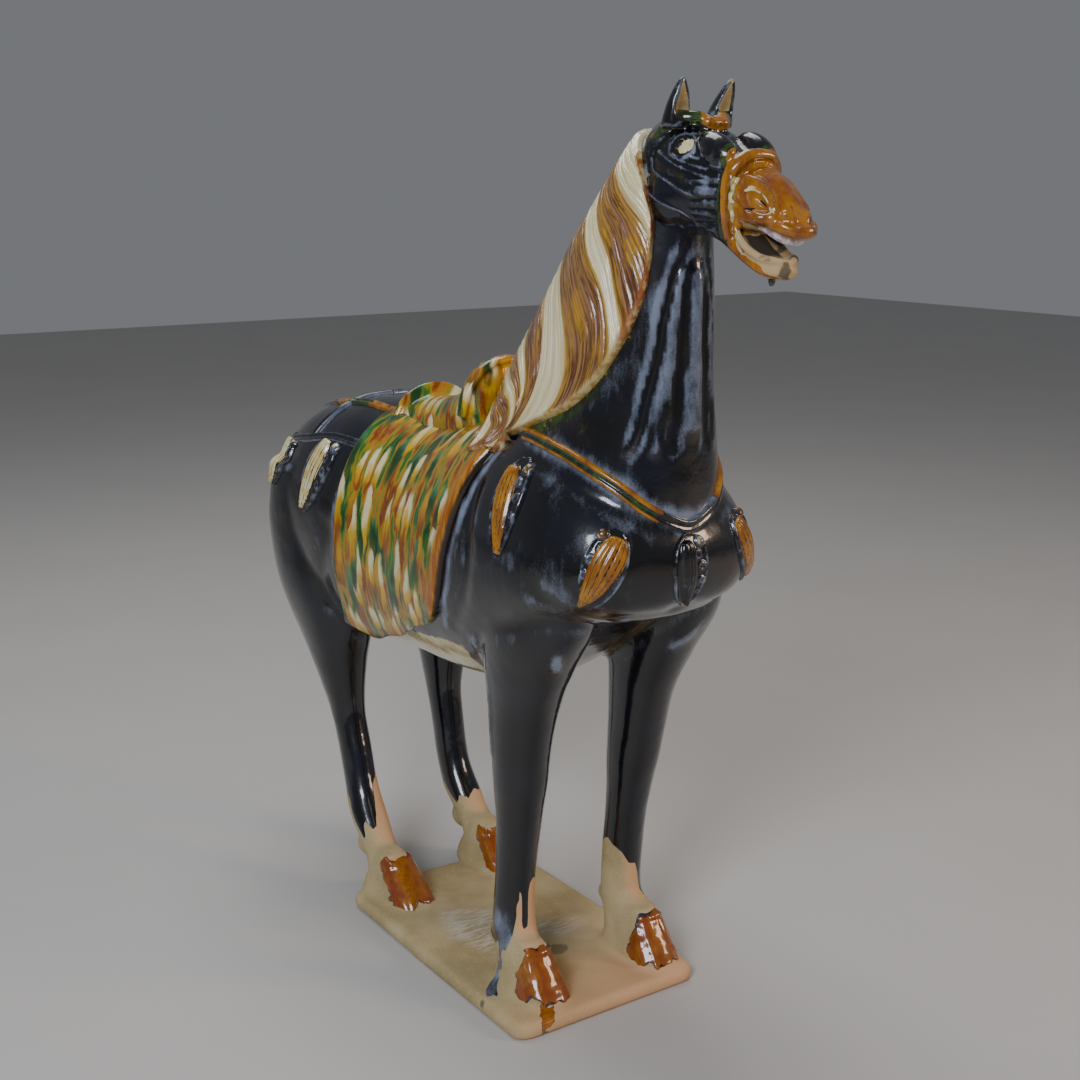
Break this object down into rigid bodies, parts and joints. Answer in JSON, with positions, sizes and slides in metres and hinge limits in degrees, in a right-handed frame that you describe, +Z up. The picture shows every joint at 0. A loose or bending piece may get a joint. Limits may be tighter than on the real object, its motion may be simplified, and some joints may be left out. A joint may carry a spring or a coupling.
{
  "type": "glazed pottery horse",
  "caption": "Standing saddled horse of fired clay under coloured lead glazes, fixed on a thin oblong slab that it rests on.",
  "frame": {"origin": "middle of the slab's underside, on the surface that the work stands on", "axes": "+Z up; the horse faces -Y and its left side is +X"},
  "size_m": [0.2128, 0.7245, 0.7513],
  "materials": {
    "glazed_clay": "glossy near-black glaze with amber, cream and green, bare buff clay at the feet and slab"
  },
  "bodies": {
    "root": {"horse": "glazed_clay"}
  },
  "joints": []
}
